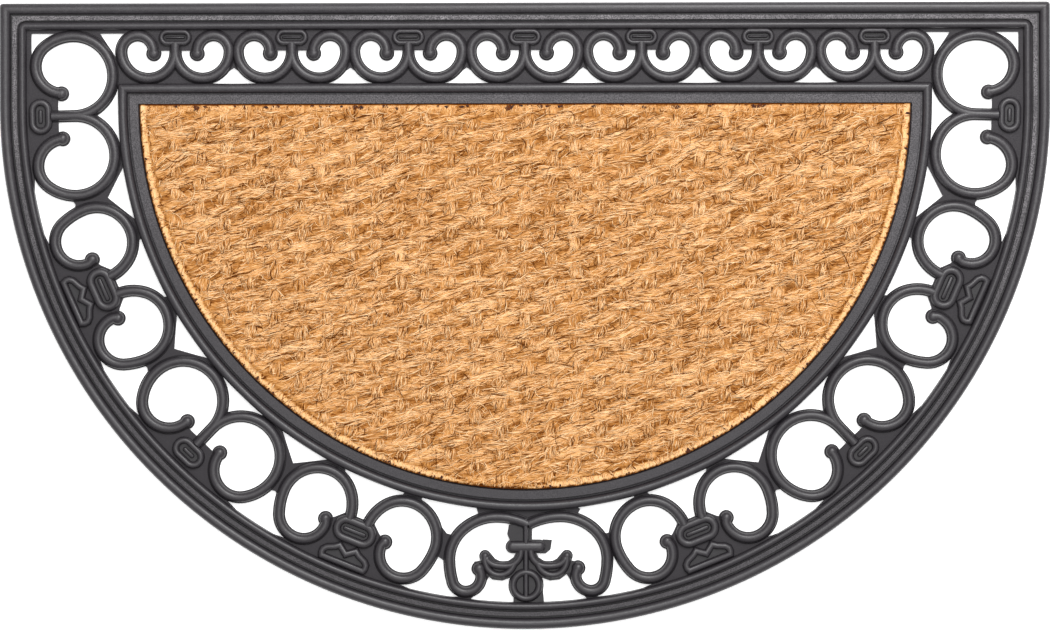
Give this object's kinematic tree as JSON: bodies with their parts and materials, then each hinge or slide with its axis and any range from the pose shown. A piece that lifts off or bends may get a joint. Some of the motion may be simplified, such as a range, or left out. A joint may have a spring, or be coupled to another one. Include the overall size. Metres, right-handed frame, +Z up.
{
  "type": "half-round coir doormat",
  "caption": "Half-round doormat: coir insert in a moulded rubber surround with an openwork border of paired scrolls, ovals and small crowns.",
  "frame": {"origin": "on the floor, under the middle of the mat's bounding box", "axes": "+X along the straight edge, +Y from the curved side towards the straight edge, +Z up out of the mat's face"},
  "size_m": [0.75, 0.4474, 0.009],
  "materials": {
    "rubber": "moulded, satin, fine grain on the flat strips",
    "coir": "woven coir, coarse and fibrous"
  },
  "bodies": {
    "root": {"rubber_frame": "rubber", "coir_insert": "coir"}
  },
  "joints": []
}
